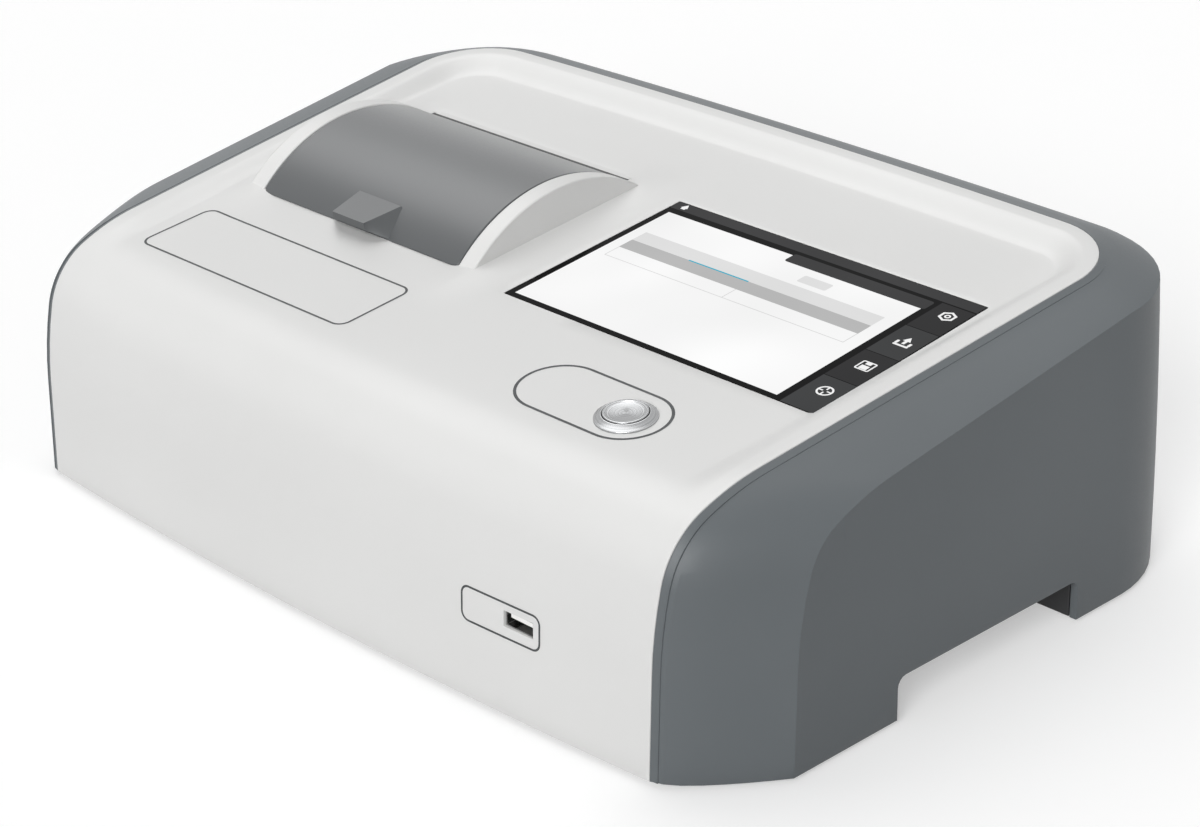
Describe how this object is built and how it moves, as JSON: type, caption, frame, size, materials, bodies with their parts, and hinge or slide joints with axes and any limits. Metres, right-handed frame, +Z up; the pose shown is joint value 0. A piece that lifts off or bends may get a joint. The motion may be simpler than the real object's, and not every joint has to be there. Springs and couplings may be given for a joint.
{
  "type": "benchtop colorimeter",
  "caption": "Low benchtop colour-measuring instrument: dark wrap-around casing, pale sloping deck, touch screen, push button, front socket and a curved roll-top lid over the sample chamber.",
  "frame": {"origin": "on the table under the middle of the instrument", "axes": "+Z up, -Y towards the user, +X to the user's right"},
  "size_m": [0.4, 0.2779, 0.1239],
  "materials": {
    "casing_grey": "dark cool grey, satin",
    "cover_pale": "very light grey, satin",
    "lid_grey": "mid grey, satin",
    "screen_glass": "black-edged touch glass",
    "steel": "brushed",
    "plated": "nickel plate",
    "alloy": "milled",
    "sheet": "zinc-coated sheet",
    "black_plastic": "moulded",
    "white_plastic": "diffuse white",
    "board": "solder mask",
    "foot_rubber": "soft",
    "brass_pin": "turned",
    "clear_glass": "polished"
  },
  "bodies": {
    "casing": {"outer_shell": "casing_grey", "top_cover": "cover_pale", "base_tray": "black_plastic", "grip_liners": "black_plastic", "rubber_feet": "foot_rubber", "cover_posts": "cover_pale", "base_screws": "steel", "lid_pivot_pins": "steel", "sample_chamber": "black_plastic", "chamber_windows": "clear_glass", "cuvette_holder": "alloy", "chamber_stand": "alloy", "optical_bench": "alloy", "bench_dampers": "foot_rubber", "lamp_housing": "alloy", "lamp_bulb": "clear_glass", "integrating_sphere": "white_plastic", "spectrometer_box": "alloy", "spectrometer_cover": "alloy", "spectrometer_optics": "black_plastic", "touch_glass": "screen_glass", "display_panel": "black_plastic", "display_frame": "sheet", "display_board": "board", "button_bezel": "steel", "button_block": "black_plastic", "button_nut": "plated", "usb_port": "plated", "usb_tongue": "black_plastic", "usb_board": "board", "usb_stand": "black_plastic", "main_board": "board", "board_chips": "black_plastic", "heat_sink": "alloy", "board_standoffs": "brass_pin", "board_screws": "steel", "power_supply": "sheet", "rear_panel": "sheet", "rear_panel_screws": "steel", "power_inlet": "black_plastic", "inlet_blades": "brass_pin", "power_switch_frame": "black_plastic", "rocker_axle": "steel", "rear_data_port": "plated"},
    "lid": {"sample_lid": "lid_grey", "lid_finger_tab": "lid_grey", "lid_arm_left": "lid_grey", "lid_arm_right": "lid_grey"},
    "button": {"button_cap": "steel"},
    "rocker": {"power_switch_rocker": "black_plastic"}
  },
  "joints": [
    {"name": "lid_hinge", "type": "hinge", "parent": "casing", "child": "lid", "pos_m": [-0.0805, 0.00917, 0.05305], "axis": [-1, 0, 0], "range_deg": [0, 68]},
    {"name": "button_press", "type": "slide", "parent": "casing", "child": "button", "axis": [0, 0.1004, -0.995], "range_m": [0, 0.0015], "stiffness_N_per_m": 1000, "springref_m": -0.001},
    {"name": "rocker_tilt", "type": "hinge", "parent": "casing", "child": "rocker", "pos_m": [0.004, 0.1269, 0.043], "axis": [-1, 0, 0], "range_deg": [0, 12]}
  ]
}
